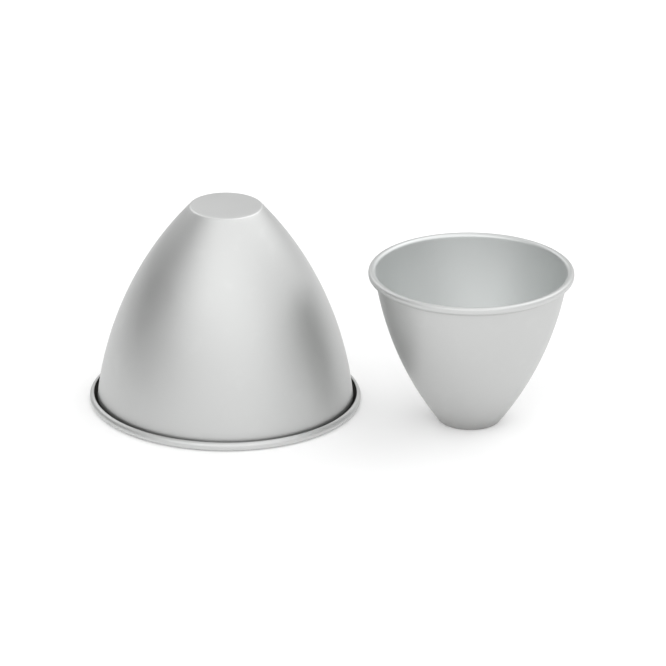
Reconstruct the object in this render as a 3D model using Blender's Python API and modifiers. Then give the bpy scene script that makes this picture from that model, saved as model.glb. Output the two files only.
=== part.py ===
"""A pair of cone cake moulds: a large one stood mouth down, and a small one stood mouth up beside it.

Each mould is one piece of spun sheet: a small flat floor, a wall that bows outwards on its way up, and a
mouth whose edge is rolled outwards into an open curl. Lengths are in metres and +Z is up. Both moulds stand
on the X axis, and the origin is under the middle of the pair.
"""

import math

import bmesh
import bpy
from mathutils import Vector

# Sizes that both moulds share
SHEET = 0.0009                       # thickness of the sheet
FLOOR_CORNER_RADIUS = 0.0016         # inside radius between the floor and the wall
RIM_GAP = 0.0075                     # clear way between the two mouths, seen from above

# The large mould, which stands mouth down
LARGE_MOUTH_DIAMETER = 0.2030        # over the rolled edge
LARGE_HEIGHT = 0.1560                # from the underside of the floor to the top of the rolled edge
LARGE_FLOOR_DIAMETER = 0.0530        # inside, to where the wall's line meets the floor
LARGE_CURL_DIAMETER = 0.0066         # outside of the rolled edge
LARGE_MOUTH_LEAN = math.radians(6)   # how far the wall still leans out where it meets the rolled edge

# The small mould, which stands mouth up
SMALL_MOUTH_DIAMETER = 0.1530
SMALL_HEIGHT = 0.1195
SMALL_FLOOR_DIAMETER = 0.0445
SMALL_CURL_DIAMETER = 0.0056
SMALL_MOUTH_LEAN = math.radians(8.3)

# How finely the turned shapes are divided
STEPS_AROUND = 64
CORNER_STEPS = 3
WALL_STEPS = 12
CURL_RISE_STEPS = 4
CURL_FALL_STEPS = 8

MERGE_DISTANCE = 0.00001


def clear_scene():
    for obj in list(bpy.data.objects):
        bpy.data.objects.remove(obj, do_unlink=True)


def arc_points(centre, radius, start_angle, end_angle, steps):
    """Points along an arc in the XZ plane; an angle of 0 points along +X and a quarter turn along +Z."""
    points = []
    for step in range(steps + 1):
        angle = start_angle + (end_angle - start_angle) * step / steps
        points.append(centre + radius * Vector((math.cos(angle), math.sin(angle))))
    return points


def joined(stretches):
    """One run of points, from stretches that each begin where the last one ends."""
    points = list(stretches[0])
    for stretch in stretches[1:]:
        points += stretch[1:]
    return points


def angle_of(vector):
    return math.atan2(vector.y, vector.x)


def bowed_wall(foot, head, head_lean):
    """Centre and radius of the arc that joins foot to head and leans head_lean off upright at the head."""
    chord = head - foot
    chord_lean = math.atan2(chord.x, chord.y)
    half_turn = chord_lean - head_lean
    radius = chord.length / (2 * math.sin(half_turn))
    inward = Vector((-math.cos(head_lean), math.sin(head_lean)))
    return head + radius * inward, radius


def mould_profile(mouth_diameter, height, floor_diameter, curl_diameter, mouth_lean):
    """The inner face of the sheet, from the axis out along the floor, up the wall and round the rolled edge."""
    quarter_turn = math.pi / 2
    curl_radius = curl_diameter / 2
    curl_centre = Vector((mouth_diameter / 2 - curl_radius, height - curl_radius))
    curl_start = math.pi - mouth_lean

    # The wall ends where the rolled edge begins, and both lean alike there
    wall_head = curl_centre + curl_radius * Vector((math.cos(curl_start), math.sin(curl_start)))
    wall_foot = Vector((floor_diameter / 2, SHEET))
    wall_centre, wall_radius = bowed_wall(wall_foot, wall_head, mouth_lean)

    # The corner's arc touches the floor and the inside of the wall's arc
    corner_rise = SHEET + FLOOR_CORNER_RADIUS - wall_centre.y
    corner_reach = math.sqrt((wall_radius - FLOOR_CORNER_RADIUS) ** 2 - corner_rise ** 2)
    corner_centre = wall_centre + Vector((corner_reach, corner_rise))
    corner_end = angle_of(corner_centre - wall_centre)
    wall_end = angle_of(wall_head - wall_centre)

    corner = arc_points(corner_centre, FLOOR_CORNER_RADIUS, -quarter_turn, corner_end, CORNER_STEPS)
    floor = [Vector((0, SHEET)), corner[0]]
    wall = arc_points(wall_centre, wall_radius, corner_end, wall_end, WALL_STEPS)

    # The rolled edge rises to the top of the mouth, then falls round its outside to its open underside
    rise = arc_points(curl_centre, curl_radius, curl_start, quarter_turn, CURL_RISE_STEPS)
    fall = arc_points(curl_centre, curl_radius, quarter_turn, -quarter_turn, CURL_FALL_STEPS)
    return joined([floor, corner, wall, rise, fall])


def turned_sheet(name, profile):
    """Turn the profile once round Z, then give it the sheet's thickness on the side away from the cake."""
    mesh = bpy.data.meshes.new(name)
    outline = bmesh.new()
    corners = [outline.verts.new((point.x, 0, point.y)) for point in profile]
    for start, end in zip(corners, corners[1:]):
        outline.edges.new((start, end))
    outline.to_mesh(mesh)
    outline.free()

    mould = bpy.data.objects.new(name, mesh)
    turning = mould.modifiers.new("Turning", 'SCREW')
    turning.axis = 'Z'
    turning.angle = math.tau
    turning.steps = STEPS_AROUND
    turning.render_steps = STEPS_AROUND
    turning.use_merge_vertices = True
    turning.merge_threshold = MERGE_DISTANCE
    turning.use_smooth_shade = True

    thickness = mould.modifiers.new("Sheet", 'SOLIDIFY')
    thickness.thickness = SHEET
    thickness.offset = -1
    thickness.use_even_offset = True
    return mould


def satin_aluminium(name, colour, roughness):
    material = bpy.data.materials.new(name)
    material.use_nodes = True
    shader = material.node_tree.nodes["Principled BSDF"]
    shader.inputs["Base Color"].default_value = (*colour, 1)
    shader.inputs["Metallic"].default_value = 1
    shader.inputs["Roughness"].default_value = roughness
    return material


def add_large_mould(collection, axis_x):
    profile = mould_profile(LARGE_MOUTH_DIAMETER, LARGE_HEIGHT, LARGE_FLOOR_DIAMETER,
                            LARGE_CURL_DIAMETER, LARGE_MOUTH_LEAN)
    mould = turned_sheet("large_mould", profile)
    mould.data.materials.append(satin_aluminium("large_mould_finish", (0.66, 0.67, 0.67), 0.50))
    # Turned over, so that the mouth stands on the table and the floor is on top
    mould.rotation_euler = (math.pi, 0, 0)
    mould.location = (axis_x, 0, LARGE_HEIGHT)
    collection.objects.link(mould)


def add_small_mould(collection, axis_x):
    profile = mould_profile(SMALL_MOUTH_DIAMETER, SMALL_HEIGHT, SMALL_FLOOR_DIAMETER,
                            SMALL_CURL_DIAMETER, SMALL_MOUTH_LEAN)
    mould = turned_sheet("small_mould", profile)
    mould.data.materials.append(satin_aluminium("small_mould_finish", (0.65, 0.66, 0.66), 0.50))
    mould.location = (axis_x, 0, 0)
    collection.objects.link(mould)


def build():
    clear_scene()
    collection = bpy.data.collections.new("cone_cake_moulds")
    bpy.context.scene.collection.children.link(collection)

    large_radius = LARGE_MOUTH_DIAMETER / 2
    small_radius = SMALL_MOUTH_DIAMETER / 2
    half_length = large_radius + RIM_GAP / 2 + small_radius
    add_large_mould(collection, large_radius - half_length)
    add_small_mould(collection, half_length - small_radius)


build()
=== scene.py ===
# Looks of two cone cake moulds: spun aluminium sheet with a satin anodised skin, a large mould stood
# mouth down and a small mould stood mouth up, on a white studio table.
# Metres and degrees throughout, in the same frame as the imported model.

import math

import bpy
import numpy as np
from mathutils import Matrix, Vector


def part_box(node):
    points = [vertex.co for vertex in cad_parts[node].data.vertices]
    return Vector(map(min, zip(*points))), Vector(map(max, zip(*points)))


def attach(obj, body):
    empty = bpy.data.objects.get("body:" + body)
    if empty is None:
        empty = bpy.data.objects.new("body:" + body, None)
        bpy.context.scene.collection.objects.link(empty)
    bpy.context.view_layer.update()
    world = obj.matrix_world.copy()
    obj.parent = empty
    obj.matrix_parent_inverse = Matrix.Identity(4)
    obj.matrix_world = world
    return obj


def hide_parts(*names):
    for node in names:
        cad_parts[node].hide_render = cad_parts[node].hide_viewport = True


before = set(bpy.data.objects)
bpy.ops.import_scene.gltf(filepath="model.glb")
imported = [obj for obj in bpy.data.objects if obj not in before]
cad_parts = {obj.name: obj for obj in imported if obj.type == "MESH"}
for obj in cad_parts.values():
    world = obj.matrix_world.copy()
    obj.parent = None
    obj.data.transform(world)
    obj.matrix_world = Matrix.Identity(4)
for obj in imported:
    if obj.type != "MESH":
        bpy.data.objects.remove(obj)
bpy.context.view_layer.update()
print("frame loaded:", ", ".join(sorted(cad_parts)))


# The camera stands in front of the pair, a little to the right, and looks down at it through a long lens
camera = {
    "place": (1.188, -6.460, 2.7787),
    "heading": 10.409,        # turned to the left of +Y
    "tilt": 22.484,           # below the horizon
    "roll": 0.45,             # anticlockwise, seen from behind the camera
    "lens": 515.4,            # millimetres
    "sensor": 36,             # millimetres across
    "nearest": 0.1,
    "farthest": 50,
}


def makeCamera():
    # A new camera looks straight down. It is rolled, tipped up to its tilt and then turned to its heading.
    data = bpy.data.cameras.new("camera")
    data.sensor_width = camera["sensor"]
    data.lens = camera["lens"]
    data.clip_start = camera["nearest"]
    data.clip_end = camera["farthest"]
    body = bpy.data.objects.new("camera", data)
    turns = (Matrix.Rotation(math.radians(camera["heading"]), 4, "Z")
             @ Matrix.Rotation(math.radians(90 - camera["tilt"]), 4, "X")
             @ Matrix.Rotation(math.radians(camera["roll"]), 4, "Z"))
    body.matrix_world = Matrix.Translation(Vector(camera["place"])) @ turns
    bpy.context.scene.collection.objects.link(body)
    bpy.context.scene.camera = body


makeCamera()
print("camera set")


# The two moulds are made by the same functions, and differ in their sizes, in their wear and in their
# painted shade and highlights. Both are worked out mouth up, and the large one is then turned over.
largeMould = {
    "node": "large_mould",
    "mouthDown": True,
    "sheet": 0.0009,            # thickness
    "floorDiameter": 0.0530,    # inside, to where the wall's line meets the floor
    "cornerRadius": 0.0016,     # inside, between the floor and the wall
    "mouthLean": 6,             # how far the wall still leans out where the rolled edge begins
    "curlDiameter": 0.0066,     # over the rolled edge
    "curlSquareness": 2.0,      # 2 rolls the edge round, and more flattens its crest and its outer face
    "curlStop": -83,            # where its free edge is: 0 is outermost, and -90 straight under its middle
    "grooveShadeReach": 0.0025,        # over what length of the wall the painted shade in and under the rolled edge fades out
    "grooveShadeStop": 0.0010,         # and over what length before the free edge
    "evenShade": 0.0,              # how strongly painted shade greys the whole outside evenly, from 0 to 1
    "footShade": 0.0,             # how much more painted shade greys the foot of the mould
    "footShadeReach": 0.0115,         # the height at which that has fallen to about a third
    "crestRubAndHighlight": 0.6,            # how much the outer crest of the rolled edge is painted brighter, as rubbed wear and painted highlight, from 0 to 1
    "cornerRubAndHighlight": 0.1,           # the same at the corner between the floor and the wall
    "cornerRubAndHighlightReach": 0.0025,   # the distance at which that has fallen to about a third
    "floorPaintedLight": 0.9,            # and on the outside of the floor, where it is painted light
}

smallMould = {
    "node": "small_mould",
    "mouthDown": False,
    "sheet": 0.0009,
    "floorDiameter": 0.0445,
    "cornerRadius": 0.0016,
    "mouthLean": 8.3,
    "curlDiameter": 0.0056,
    "curlSquareness": 2.4,
    "curlStop": -90,
    "grooveShadeReach": 0.0064,
    "grooveShadeStop": 0.0010,
    "evenShade": 0.07,
    "footShade": 0.55,
    "footShadeReach": 0.0115,
    "crestRubAndHighlight": 0.2,
    "cornerRubAndHighlight": 0.1,
    "cornerRubAndHighlightReach": 0.0025,
    "floorPaintedLight": 0.9,
}

# How finely the shells are divided: steps around, and rows along each stretch of the profile. The rise is
# the part of the curl up to the top of the mouth.
shellSteps = {"around": 288, "floor": 8, "corner": 10, "wall": 64, "curl": 52, "rise": 14, "edge": 5}

edgeBulge = 0.25    # how far the middle of the sheet's cut edge stands out, as a share of the thickness


def smoothStep(fraction):
    # 3 f^2 - 2 f^3, with f held between 0 and 1
    held = np.clip(fraction, 0, 1)
    return 3 * held ** 2 - 2 * held ** 3


def bellCurve(distance):
    # exp(-distance^2), which is 1 at no distance and next to nothing past 2
    return np.exp(-distance ** 2)


def lengthAlong(points):
    # Distance of each point from the first one, measured along the line
    steps = np.hypot(*np.diff(points, axis=0).T)
    return np.concatenate([[0.0], np.cumsum(steps)])


def rollLine(centre, radius, squareness, start, end, count):
    # Point = centre + radius * (cos a ^ (2 / squareness), sin a ^ (2 / squareness)), each with its own sign,
    # while the angle a goes evenly from start to end. The second array holds the curve's outward vectors at
    # unit length.
    angle = np.radians(np.linspace(start, end, count))
    circle = np.column_stack([np.cos(angle), np.sin(angle)])
    place = np.sign(circle) * np.abs(circle) ** (2 / squareness)
    outward = np.sign(place) * np.abs(place) ** (squareness - 1)
    return centre + radius * place, outward / np.hypot(*outward.T)[:, None]


def arcLine(centre, radius, start, end, count):
    # Point = centre + radius * (cos a, sin a), with its outward vector
    return rollLine(centre, radius, 2, start, end, count)


def sheetLine(mould, mouthRadius, height):
    # The cake side of the sheet as points (radius, height): out along the floor, round the corner, up a wall
    # that is one arc, and round the rolled edge. The second array holds the unit vectors from there towards
    # the other side.
    curlRadius = mould["curlDiameter"] / 2
    curlCentre = np.array([mouthRadius - curlRadius, height - curlRadius])
    lean = math.radians(mould["mouthLean"])
    wallHead = curlCentre + curlRadius * np.array([-math.cos(lean), math.sin(lean)])
    wallFoot = np.array([mould["floorDiameter"] / 2, mould["sheet"]])

    # The wall's arc leans mouthLean at its head, and its chord fixes the rest
    chord = wallHead - wallFoot
    halfTurn = math.atan2(chord[0], chord[1]) - lean
    wallRadius = np.hypot(*chord) / (2 * math.sin(halfTurn))
    wallCentre = wallHead + wallRadius * np.array([-math.cos(lean), math.sin(lean)])

    # The corner's arc touches the floor and the inside of the wall's arc
    cornerRise = mould["sheet"] + mould["cornerRadius"] - wallCentre[1]
    cornerReach = math.sqrt((wallRadius - mould["cornerRadius"]) ** 2 - cornerRise ** 2)
    cornerCentre = wallCentre + np.array([cornerReach, cornerRise])
    cornerEnd = math.degrees(math.atan2(cornerRise, cornerReach))

    corner, fromCorner = arcLine(cornerCentre, mould["cornerRadius"], -90, cornerEnd, shellSteps["corner"])
    wall, fromWall = arcLine(wallCentre, wallRadius, cornerEnd, -mould["mouthLean"], shellSteps["wall"])
    rise, fromRise = arcLine(curlCentre, curlRadius, 180 - mould["mouthLean"], 90, shellSteps["rise"])
    fallSteps = shellSteps["curl"] - shellSteps["rise"] + 1
    fall, fromFall = rollLine(curlCentre, curlRadius, mould["curlSquareness"], 90, mould["curlStop"],
                              fallSteps)
    floorRadius = np.linspace(0, cornerCentre[0], shellSteps["floor"])
    floor = np.column_stack([floorRadius, np.full(len(floorRadius), mould["sheet"])])
    throughFloor = np.tile([0.0, -1.0], (len(floor), 1))

    points = np.vstack([floor, corner[1:], wall[1:], rise[1:], fall[1:]])
    through = np.vstack([throughFloor, fromCorner[1:], fromWall[1:], -fromRise[1:], -fromFall[1:]])
    return points, through


def shellLoop(points, through, sheet):
    # Out along the cake side, round the sheet's cut edge on a flat half ellipse, and back on the other side
    endWay = points[-1] - points[-2]
    endWay = endWay / np.hypot(*endWay)
    turn = np.radians(np.linspace(0, 180, shellSteps["edge"] + 2)[1:-1])[:, None]
    middle = points[-1] + through[-1] * sheet / 2
    edge = middle - through[-1] * np.cos(turn) * sheet / 2 + endWay * np.sin(turn) * sheet * edgeBulge
    return np.vstack([points, edge, (points + through * sheet)[::-1]])


def wayAlong(points, mould):
    # Distance from the middle of the floor, measured along the sheet, for each point that shellLoop returns.
    # Both sides of the sheet get the same distance, so that marks from the spinning lie on both alike.
    along = lengthAlong(points)
    edge = np.full(shellSteps["edge"], along[-1] + mould["sheet"] * edgeBulge)
    return np.concatenate([along, edge, along[::-1]])


def cakeSide(points):
    # 1 on the cake side of the floor and the wall, fading to 0 over the first half of the rolled edge in a
    # smooth step, and 0 on the outside
    pastWall = np.arange(len(points)) - (len(points) - shellSteps["curl"])
    side = smoothStep(1 - 2 * pastWall / shellSteps["curl"])
    return np.concatenate([side, np.zeros(shellSteps["edge"] + len(points))])


def paintedFootShade(loop, mould):
    # How much painted shade greys the outside: the even share plus the foot share times exp(-height / reach)
    outside = np.arange(len(loop)) >= len(loop) // 2
    return (mould["evenShade"] + mould["footShade"] * np.exp(-loop[:, 1] / mould["footShadeReach"])) * outside


def rubbedAndLitPlaces(loop, mould):
    # How much the skin is painted brighter, as the sum of three bell curves: rubbed wear and painted
    # highlight round the outer crest of the rolled edge and round the corner between floor and wall, and
    # painted light over the outside of the floor
    crest = loop.max(axis=0)
    fromCrest = np.hypot(*(crest - loop).T) / (mould["curlDiameter"] / 2)
    corner = np.array([mould["floorDiameter"] / 2, 0])
    fromCorner = np.hypot(*(corner - loop).T) / mould["cornerRubAndHighlightReach"]
    fromFloor = loop[:, 1] / (mould["sheet"] / 2)
    return (mould["crestRubAndHighlight"] * bellCurve(fromCrest) + mould["cornerRubAndHighlight"] * bellCurve(fromCorner)
            + mould["floorPaintedLight"] * bellCurve(fromFloor))


def paintedGrooveShadePlaces(points, mould):
    # How much painted shade darkens the sheet, from 0 to 1. The cake side has none. On the other side it
    # fills the hollow of the rolled edge, and fades out in a smooth step towards the free edge and along the
    # wall.
    along = lengthAlong(points)
    rollStart = along[-shellSteps["curl"]]
    entering = smoothStep((along - rollStart) / mould["grooveShadeReach"] + 1)
    leaving = smoothStep((along[-1] - along) / mould["grooveShadeStop"])
    grooveShade = entering * leaving
    return np.concatenate([np.zeros(len(points) + shellSteps["edge"]), grooveShade[::-1]])


def turnedMesh(name, loop, values):
    # Each loop point (radius, height) goes to (radius cos a, radius sin a, height), with a going once round.
    # The first and the last point lie on the axis and stay single. Each named array of values, with one for
    # each loop point, becomes an attribute of the mesh.
    around = shellSteps["around"]
    turn = np.linspace(0, 2 * np.pi, around, endpoint=False)
    rings = loop[1:-1]
    grid = np.stack([rings[:, :1] * np.cos(turn), rings[:, :1] * np.sin(turn),
                     np.repeat(rings[:, 1:], around, axis=1)], axis=-1)
    first = np.array([[0, 0, loop[0, 1]]])
    last = np.array([[0, 0, loop[-1, 1]]])
    vertices = np.vstack([first, grid.reshape(-1, 3), last])

    index = 1 + np.arange(len(rings) * around).reshape(len(rings), around)
    ahead = np.roll(index, -1, axis=1)
    quads = np.stack([index[:-1], index[1:], ahead[1:], ahead[:-1]], axis=-1).reshape(-1, 4)
    start = np.column_stack([np.zeros(around, int), index[0], ahead[0]])
    end = np.column_stack([np.full(around, len(vertices) - 1), ahead[-1], index[-1]])

    mesh = bpy.data.meshes.new(name)
    mesh.from_pydata(vertices, [], start.tolist() + quads.tolist() + end.tolist())
    mesh.shade_smooth()
    for label, column in values.items():
        spread = np.concatenate([column[:1], np.repeat(column[1:-1], around), column[-1:]])
        mesh.attributes.new(label, "FLOAT", "POINT").data.foreach_set("value", spread.astype(np.float32))
    return mesh


def makeMould(mould, material):
    # The shell takes its mouth, its height and its place from the box of the node that it replaces
    low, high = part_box(mould["node"])
    middle = (Vector(low) + Vector(high)) / 2
    mouthRadius = (high[0] - low[0]) / 2
    height = high[2] - low[2]
    points, through = sheetLine(mould, mouthRadius, height)
    loop = shellLoop(points, through, mould["sheet"])
    values = {
        "alongSheet": wayAlong(points, mould),
        "cakeSide": cakeSide(points),
        # painted shade on the outside, darker towards the foot
        "paintedFootShade": paintedFootShade(loop, mould),
        # rubbed wear, with painted highlights on the crest and the corner and painted light on the floor's
        # outside
        "rubbedAndLit": rubbedAndLitPlaces(loop, mould),
        # painted shade in and under the rolled edge
        "paintedGrooveShade": paintedGrooveShadePlaces(points, mould),
    }
    mesh = turnedMesh(mould["node"] + "_shell", loop, values)
    if mould["mouthDown"]:
        mesh.transform(Matrix.Translation((0, 0, height)) @ Matrix.Rotation(math.pi, 4, "X"))
    mesh.transform(Matrix.Translation((middle.x, middle.y, low[2])))
    mesh.materials.append(material)
    shell = bpy.data.objects.new(mould["node"] + "_shell", mesh)
    bpy.context.scene.collection.objects.link(shell)
    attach(shell, mould["node"])
    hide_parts(mould["node"])
    print(shell.name, "made:", len(mesh.vertices), "vertices")


# Satin anodised aluminium: spun, etched to an even matt, then anodised clear. Up close it has a fine
# pebbled grain over the last traces of the spinning. The cake side is painted a lighter grey than the
# outside: painted light, for the brighter light inside the hollow.
satinSkin = {
    "cakeSideLitColour": (0.700, 0.716, 0.711),      # on the cake side, lighter as painted light
    "colour": (0.620, 0.625, 0.621),          # on the outside
    "cloudColour": (0.597, 0.604, 0.598),     # towards which the outside's colour drifts
    "cloudSize": 0.055,
    "cloudDetail": 3,
    # brighter grey for rubbed wear, painted highlights and painted light
    "rubbedAndLitColour": (0.750, 0.756, 0.751),
    "rubbedAndLitShine": 0.04,                      # taken off the roughness where the skin is rubbed or painted brighter
    "roughness": 0.50,
    "roughnessDrift": 0.05,                   # with the clouds
    "grainSize": 0.00045,
    "grainHeight": 0.000004,
    "grainDetail": 2,
    "ringPitch": 0.0013,                      # from one trace of the spinning tool to the next
    "ringHeight": 0.0000015,
    "ringDetail": 2,
    "ringDrift": 0.02,                        # of the roughness, from ring to ring
    "scuffSize": 0.012,
    "scuffDetail": 4,
    "scuffWander": 0.6,                       # how much the scuffs' outlines are bent
    "scuffFrom": 0.56,                        # where the noise passes this value a scuff begins
    "scuffFull": 0.70,                        # and here it is fully there
    "scuffShine": 0.035,                      # taken off the roughness
    "grooveShadeColour": (0.085, 0.085, 0.080),      # painted shade inside and under the rolled edge
    "grooveShadeDullness": 0.20,                     # added to the roughness there
    "footShadeColour": (0.330, 0.325, 0.320),  # what the painted shade on the outside greys the skin towards
}


def addNode(tree, kind, settings, inputs):
    # One shader node: its settings, then its inputs, each a plain value or another node's output
    node = tree.nodes.new(kind)
    for name, value in settings.items():
        setattr(node, name, value)
    for name, value in inputs.items():
        setInput(tree, node.inputs[name], value)
    return node


def setInput(tree, socket, value):
    # A plain value goes into the socket itself, and an output is linked to it
    if isinstance(value, bpy.types.NodeSocket):
        tree.links.new(value, socket)
    else:
        socket.default_value = value


def blendNumbers(tree, fraction, low, high):
    # low + fraction * (high - low), held between the two
    return addNode(tree, "ShaderNodeMapRange", {"clamp": True},
                   {"Value": fraction, "To Min": low, "To Max": high}).outputs["Result"]


def blendColours(tree, fraction, first, second):
    # first + fraction * (second - first), where each is a colour's output or three numbers
    mix = addNode(tree, "ShaderNodeMix", {"data_type": "RGBA"}, {"Factor": fraction})
    colourInputs = [socket for socket in mix.inputs if socket.type == "RGBA"]
    for socket, colour in zip(colourInputs, (first, second)):
        setInput(tree, socket, colour if isinstance(colour, bpy.types.NodeSocket) else (*colour, 1))
    return next(socket for socket in mix.outputs if socket.type == "RGBA")


def workOut(tree, operation, *numbers):
    # The operation's own formula, on one or two numbers
    return addNode(tree, "ShaderNodeMath", {"operation": operation},
                   dict(enumerate(numbers))).outputs["Value"]


def addNoise(tree, vector, size, detail, wander=0.0):
    # Cloudy noise from 0 to 1, with its largest clouds as big as size
    return addNode(tree, "ShaderNodeTexNoise", {},
                   {"Vector": vector, "Scale": 1 / size, "Detail": detail,
                    "Distortion": wander}).outputs["Fac"]


def skinMaps(tree):
    # The shell's own values, and the noises that the skin is mixed from, each under its name
    maps = {label: addNode(tree, "ShaderNodeAttribute", {"attribute_name": label}, {}).outputs["Fac"]
            for label in ("rubbedAndLit", "paintedGrooveShade", "alongSheet", "cakeSide", "paintedFootShade")}
    place = addNode(tree, "ShaderNodeTexCoord", {}, {}).outputs["Object"]
    maps["clouds"] = addNoise(tree, place, satinSkin["cloudSize"], satinSkin["cloudDetail"])
    maps["grain"] = addNoise(tree, place, satinSkin["grainSize"], satinSkin["grainDetail"])
    maps["rings"] = addNode(tree, "ShaderNodeTexNoise", {"noise_dimensions": "1D"},
                            {"W": maps["alongSheet"], "Scale": 1 / satinSkin["ringPitch"],
                             "Detail": satinSkin["ringDetail"]}).outputs["Fac"]
    scuffNoise = addNoise(tree, place, satinSkin["scuffSize"], satinSkin["scuffDetail"],
                          satinSkin["scuffWander"])
    maps["scuffs"] = addNode(tree, "ShaderNodeMapRange", {"interpolation_type": "SMOOTHSTEP"},
                             {"Value": scuffNoise, "From Min": satinSkin["scuffFrom"],
                              "From Max": satinSkin["scuffFull"]}).outputs["Result"]
    return maps


def skinColour(tree, maps):
    # The outside drifts slowly between two greys, is brighter with rubbed wear, painted highlights and
    # painted light, greyer with painted shade towards the foot and dark with painted shade in the rolled
    # edge. The cake side has its own grey, lighter as painted light.
    tone = blendColours(tree, maps["clouds"], satinSkin["cloudColour"], satinSkin["colour"])
    for amount, colour in (("rubbedAndLit", "rubbedAndLitColour"), ("cakeSide", "cakeSideLitColour"),
                           ("paintedFootShade", "footShadeColour"), ("paintedGrooveShade", "grooveShadeColour")):
        tone = blendColours(tree, maps[amount], tone, satinSkin[colour])
    return tone


def skinRoughness(tree, maps):
    # roughness +- roughnessDrift with the clouds, +- ringDrift from ring to ring, less where the skin is
    # rubbed or painted brighter and where it is scuffed, and more in the painted shade of the rolled edge
    middle, drift, ring = satinSkin["roughness"], satinSkin["roughnessDrift"], satinSkin["ringDrift"]
    roughness = blendNumbers(tree, maps["clouds"], middle - drift, middle + drift)
    roughness = workOut(tree, "ADD", roughness, blendNumbers(tree, maps["rings"], -ring, ring))
    for amount, change in (("rubbedAndLit", -satinSkin["rubbedAndLitShine"]), ("scuffs", -satinSkin["scuffShine"]),
                           ("paintedGrooveShade", satinSkin["grooveShadeDullness"])):
        roughness = workOut(tree, "ADD", roughness, workOut(tree, "MULTIPLY", maps[amount], change))
    return roughness


def skinBump(tree, maps):
    # The heights of the grain and of the rings are in metres
    height = workOut(tree, "ADD", workOut(tree, "MULTIPLY", maps["grain"], satinSkin["grainHeight"]),
                     workOut(tree, "MULTIPLY", maps["rings"], satinSkin["ringHeight"]))
    return addNode(tree, "ShaderNodeBump", {},
                   {"Height": height, "Distance": 1.0, "Strength": 1.0}).outputs["Normal"]


def makeSatinSkin(name):
    # A metal all over, with the colour, the roughness and the bump that the functions above work out
    material = bpy.data.materials.new(name)
    material.use_nodes = True
    tree = material.node_tree
    maps = skinMaps(tree)
    shader = tree.nodes["Principled BSDF"]
    shader.inputs["Metallic"].default_value = 1
    tree.links.new(skinColour(tree, maps), shader.inputs["Base Color"])
    tree.links.new(skinRoughness(tree, maps), shader.inputs["Roughness"])
    tree.links.new(skinBump(tree, maps), shader.inputs["Normal"])
    return material


skin = makeSatinSkin("satinAluminium")
print("skin mixed:", skin.name)
makeMould(largeMould, skin)
makeMould(smallMould, skin)


# A matt white table that runs out of sight and keeps the moulds' soft shadows. What the camera and the metal
# see of it is lifted to white. For a look from below it isn't there, and it holds back no light then either.
table = {
    "halfSize": 8.0,
    "drop": 0.0001,           # below the moulds, so that no faces share a plane
    "colour": (0.90, 0.90, 0.90),
    "lift": 0.12,             # added to what the camera and the metal see of it
}


def makeTableTop(name):
    # Matt white plus a glow of lift, which only the camera, glossy and transmission rays see
    material = bpy.data.materials.new(name)
    material.use_nodes = True
    tree = material.node_tree
    tree.nodes.clear()
    matt = addNode(tree, "ShaderNodeBsdfDiffuse", {}, {"Color": (*table["colour"], 1)}).outputs["BSDF"]
    ray = addNode(tree, "ShaderNodeLightPath", {}, {}).outputs
    seen = workOut(tree, "MAXIMUM", ray["Is Camera Ray"], ray["Is Glossy Ray"])
    seen = workOut(tree, "MAXIMUM", seen, ray["Is Transmission Ray"])
    glow = addNode(tree, "ShaderNodeEmission", {},
                   {"Strength": workOut(tree, "MULTIPLY", seen, table["lift"])}).outputs["Emission"]
    top = addNode(tree, "ShaderNodeAddShader", {}, {0: matt, 1: glow}).outputs["Shader"]
    clear = addNode(tree, "ShaderNodeBsdfTransparent", {}, {}).outputs["BSDF"]

    # Clear from its underside, and for the rest of the path of a look that has come through it
    under = addNode(tree, "ShaderNodeNewGeometry", {}, {}).outputs["Backfacing"]
    under = workOut(tree, "MAXIMUM", under, ray["Transparent Depth"])
    surface = addNode(tree, "ShaderNodeMixShader", {}, {0: under, 1: top, 2: clear}).outputs["Shader"]
    addNode(tree, "ShaderNodeOutputMaterial", {}, {"Surface": surface})
    return material


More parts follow.
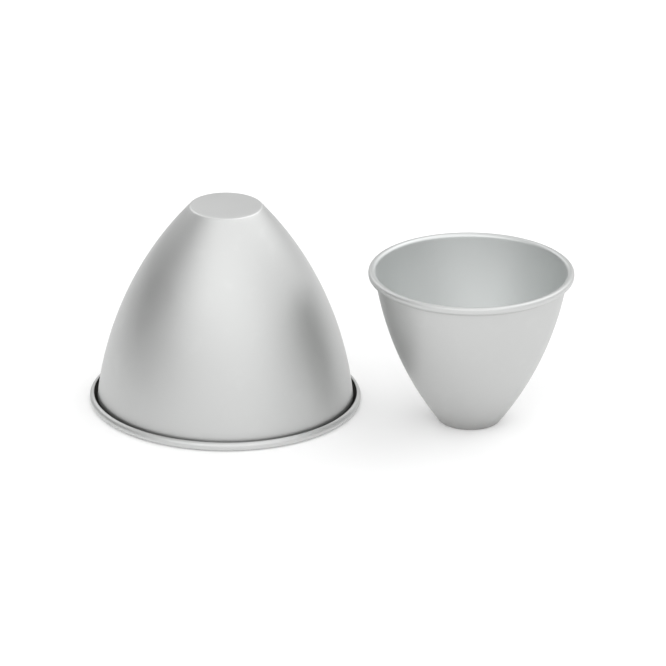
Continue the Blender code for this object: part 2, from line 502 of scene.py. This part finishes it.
def makeTable():
    # One square face that looks up
    half, height = table["halfSize"], -table["drop"]
    corners = [(-half, -half, height), (half, -half, height), (half, half, height), (-half, half, height)]
    mesh = bpy.data.meshes.new("table")
    mesh.from_pydata(corners, [], [(0, 1, 2, 3)])
    mesh.materials.append(makeTableTop("whiteTable"))
    body = bpy.data.objects.new("table", mesh)
    bpy.context.scene.collection.objects.link(body)


makeTable()
print("table made")


# The studio's soft lights, far off all round. "around" counts in degrees from the front towards the right,
# and "up" from the horizon. A sharper light covers less of the sky.
studioLights = [
    {"name": "front left", "around": -27, "up": 42, "sharpness": 5.6, "strength": 1.57},
    {"name": "front right", "around": 37, "up": 27, "sharpness": 5.2, "strength": 1.25},
    {"name": "overhead right", "around": 133, "up": 48, "sharpness": 4.2, "strength": 2.00},
    {"name": "back left", "around": -133, "up": 32, "sharpness": 19.4, "strength": 1.95},
    {"name": "below", "around": 0, "up": -90, "sharpness": 4.0, "strength": 0.90},
]


def makeStudio():
    # Light from a direction is the sum over the lights of strength * exp(sharpness * (cos angle - 1)), with
    # the angle between that direction and the light's middle
    world = bpy.data.worlds.new("studio")
    world.use_nodes = True
    tree = world.node_tree
    towards = addNode(tree, "ShaderNodeTexCoord", {}, {}).outputs["Generated"]
    total = 0.0
    for light in studioLights:
        around, up = math.radians(light["around"]), math.radians(light["up"])
        middle = (math.cos(up) * math.sin(around), -math.cos(up) * math.cos(around), math.sin(up))
        facing = addNode(tree, "ShaderNodeVectorMath", {"operation": "DOT_PRODUCT"},
                         {0: towards, 1: middle}).outputs["Value"]
        fall = workOut(tree, "MULTIPLY", workOut(tree, "SUBTRACT", facing, 1.0), light["sharpness"])
        glow = workOut(tree, "MULTIPLY", workOut(tree, "EXPONENT", fall), light["strength"])
        total = workOut(tree, "ADD", total, glow)
    background = tree.nodes["Background"]
    tree.links.new(total, background.inputs["Strength"])
    background.inputs["Color"].default_value = (1, 1, 1, 1)
    bpy.context.scene.world = world


makeStudio()
print("studio lit:", ", ".join(light["name"] for light in studioLights))
bpy.context.scene.view_settings.view_transform = "Standard"
